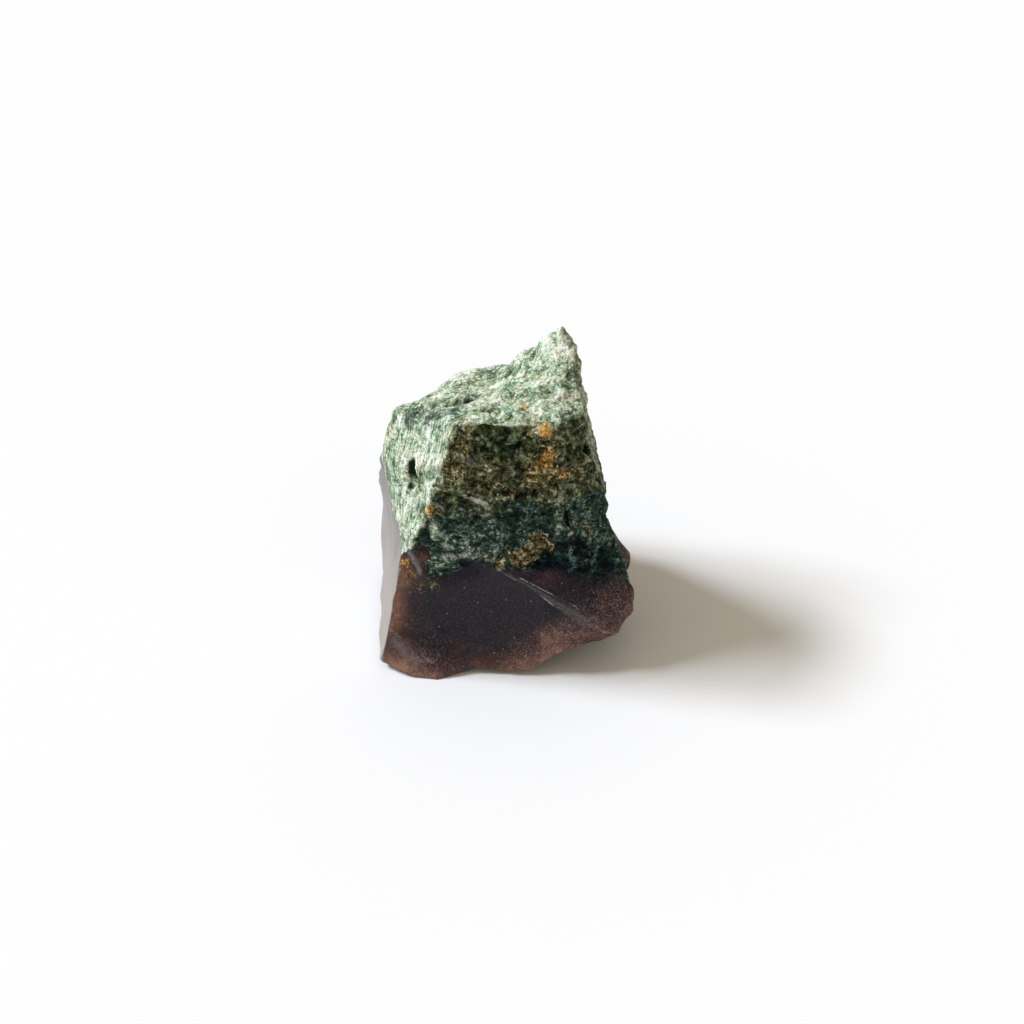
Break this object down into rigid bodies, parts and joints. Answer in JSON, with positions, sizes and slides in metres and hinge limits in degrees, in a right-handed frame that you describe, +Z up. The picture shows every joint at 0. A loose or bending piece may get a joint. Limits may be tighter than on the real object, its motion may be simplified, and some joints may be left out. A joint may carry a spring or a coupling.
{
  "type": "raw bloodstone",
  "caption": "Raw bloodstone lump: a rough green crust over smooth purple-brown chalcedony, broken in flat and shell-shaped faces, standing on a small flat.",
  "frame": {"origin": "centre of the stone's bounding box, at the level of the flat it rests on", "axes": "+X to the right as the crusted front is faced, +Y to the back, +Z up towards the peak"},
  "size_m": [0.0274, 0.0256, 0.0352],
  "materials": {
    "bloodstone": "rough crust above, waxy broken chalcedony below"
  },
  "bodies": {
    "root": {"stone": "bloodstone"}
  },
  "joints": []
}
